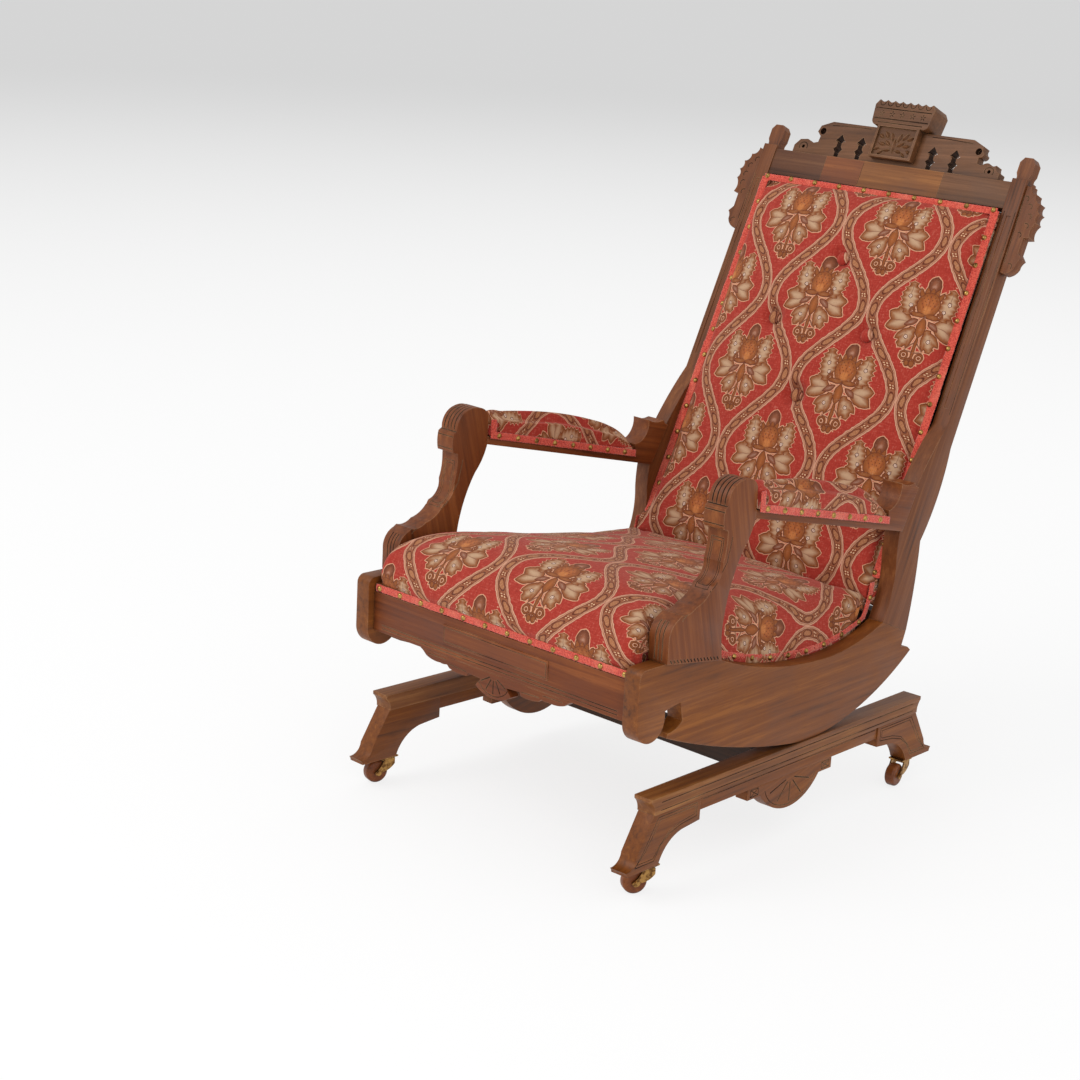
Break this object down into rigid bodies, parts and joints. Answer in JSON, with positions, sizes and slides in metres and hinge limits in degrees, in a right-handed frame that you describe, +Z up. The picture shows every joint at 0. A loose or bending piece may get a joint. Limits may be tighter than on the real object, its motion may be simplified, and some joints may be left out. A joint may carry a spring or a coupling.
{
  "type": "platform rocking chair",
  "caption": "Upholstered wooden armchair that rolls on curved rockers over a low platform with casters, with springs that bring it back upright.",
  "frame": {"origin": "centre of the bounding box, on the floor", "axes": "+X towards the sitter's left hand, +Y from the front of the seat to the back, +Z up"},
  "size_m": [0.6516, 1.0422, 1.1467],
  "materials": {
    "black_iron": "black iron",
    "caster_brass": "tarnished brass",
    "cover_board": "thin walnut board",
    "damask": "woven ogee damask, red ground",
    "gimp": "coral red woven braid",
    "jute": "jute webbing",
    "nail_brass": "antique brass",
    "spring_steel": "drawn wire, dull",
    "walnut": "old walnut, hand rubbed, satin",
    "wheel_wood": "worn dark wood"
  },
  "bodies": {
    "platform": {"base_cap_left": "walnut", "base_cap_right": "walnut", "base_rail_left": "walnut", "base_rail_right": "walnut", "base_foot_front_left": "walnut", "base_foot_front_right": "walnut", "base_foot_rear_left": "walnut", "base_foot_rear_right": "walnut", "base_pendant_left": "walnut", "base_pendant_right": "walnut", "base_stretcher_front": "walnut", "base_stretcher_rear": "walnut", "base_screws": "spring_steel", "caster_sockets": "caster_brass", "base_spring_brackets": "black_iron"},
    "caster_swivel_front_left": {"caster_horn_front_left": "caster_brass", "caster_axle_front_left": "spring_steel"},
    "caster_wheel_front_left": {"caster_wheel_front_left": "wheel_wood"},
    "caster_swivel_rear_left": {"caster_horn_rear_left": "caster_brass", "caster_axle_rear_left": "spring_steel"},
    "caster_wheel_rear_left": {"caster_wheel_rear_left": "wheel_wood"},
    "caster_swivel_front_right": {"caster_horn_front_right": "caster_brass", "caster_axle_front_right": "spring_steel"},
    "caster_wheel_front_right": {"caster_wheel_front_right": "wheel_wood"},
    "caster_swivel_rear_right": {"caster_horn_rear_right": "caster_brass", "caster_axle_rear_right": "spring_steel"},
    "caster_wheel_rear_right": {"caster_wheel_rear_right": "wheel_wood"},
    "rocking_axis": {"arm_axis_nails": "nail_brass"},
    "chair": {"arm_pad_left": "damask", "arm_pad_right": "damask", "arm_post_left": "walnut", "arm_post_right": "walnut", "arm_rail_left": "walnut", "arm_rail_right": "walnut", "back_buttons": "damask", "back_cushion": "damask", "back_ear_left": "walnut", "back_ear_right": "walnut", "back_finial_left": "walnut", "back_finial_right": "walnut", "back_lower_rail": "walnut", "back_outside_panel": "cover_board", "back_stile_left": "walnut", "back_stile_right": "walnut", "back_top_rail": "walnut", "brass_nails": "nail_brass", "centring_springs": "spring_steel", "crest_block": "walnut", "crest_board": "walnut", "gimp_braid": "gimp", "rocker_spring_brackets": "black_iron", "seat_apron": "walnut", "seat_cushion": "damask", "seat_front_rail": "walnut", "seat_rear_rail": "walnut", "seat_springs": "spring_steel", "seat_webbing": "jute", "side_board_left": "walnut", "side_board_right": "walnut"}
  },
  "joints": [
    {"name": "swivel_front_left", "type": "hinge", "parent": "platform", "child": "caster_swivel_front_left", "pos_m": [0.29632, -0.45066, 0.043], "axis": [0, 0, 1], "continuous": true},
    {"name": "spin_front_left", "type": "hinge", "parent": "caster_swivel_front_left", "child": "caster_wheel_front_left", "pos_m": [0.28684, -0.46827, 0.02], "axis": [0.8805, -0.4741, 0], "continuous": true},
    {"name": "swivel_rear_left", "type": "hinge", "parent": "platform", "child": "caster_swivel_rear_left", "pos_m": [0.27568, 0.24504, 0.043], "axis": [0, 0, 1], "continuous": true},
    {"name": "spin_rear_left", "type": "hinge", "parent": "caster_swivel_rear_left", "child": "caster_wheel_rear_left", "pos_m": [0.27836, 0.22522, 0.02], "axis": [0.991, 0.134, 0], "continuous": true},
    {"name": "swivel_front_right", "type": "hinge", "parent": "platform", "child": "caster_swivel_front_right", "pos_m": [-0.29632, -0.45066, 0.043], "axis": [0, 0, 1], "continuous": true},
    {"name": "spin_front_right", "type": "hinge", "parent": "caster_swivel_front_right", "child": "caster_wheel_front_right", "pos_m": [-0.30174, -0.46991, 0.02], "axis": [0.9627, -0.2706, 0], "continuous": true},
    {"name": "swivel_rear_right", "type": "hinge", "parent": "platform", "child": "caster_swivel_rear_right", "pos_m": [-0.27568, 0.24504, 0.043], "axis": [0, 0, 1], "continuous": true},
    {"name": "spin_rear_right", "type": "hinge", "parent": "caster_swivel_rear_right", "child": "caster_wheel_rear_right", "pos_m": [-0.26874, 0.22628, 0.02], "axis": [0.9379, 0.3469, 0], "continuous": true},
    {"name": "rocker_roll", "type": "slide", "parent": "platform", "child": "rocking_axis", "axis": [0, 1, 0], "range_m": [-0.057, 0.057]},
    {"name": "rock", "type": "hinge", "parent": "rocking_axis", "child": "chair", "pos_m": [0, -0.06281, 0.542], "axis": [1, 0, 0], "range_deg": [-8.5, 8.5], "stiffness_Nm_per_rad": 280, "deforming": ["centring_springs"]}
  ],
  "couplings": [
    {"joint": "rocker_roll", "follows": "rock", "m_per_rad": -0.382}
  ]
}
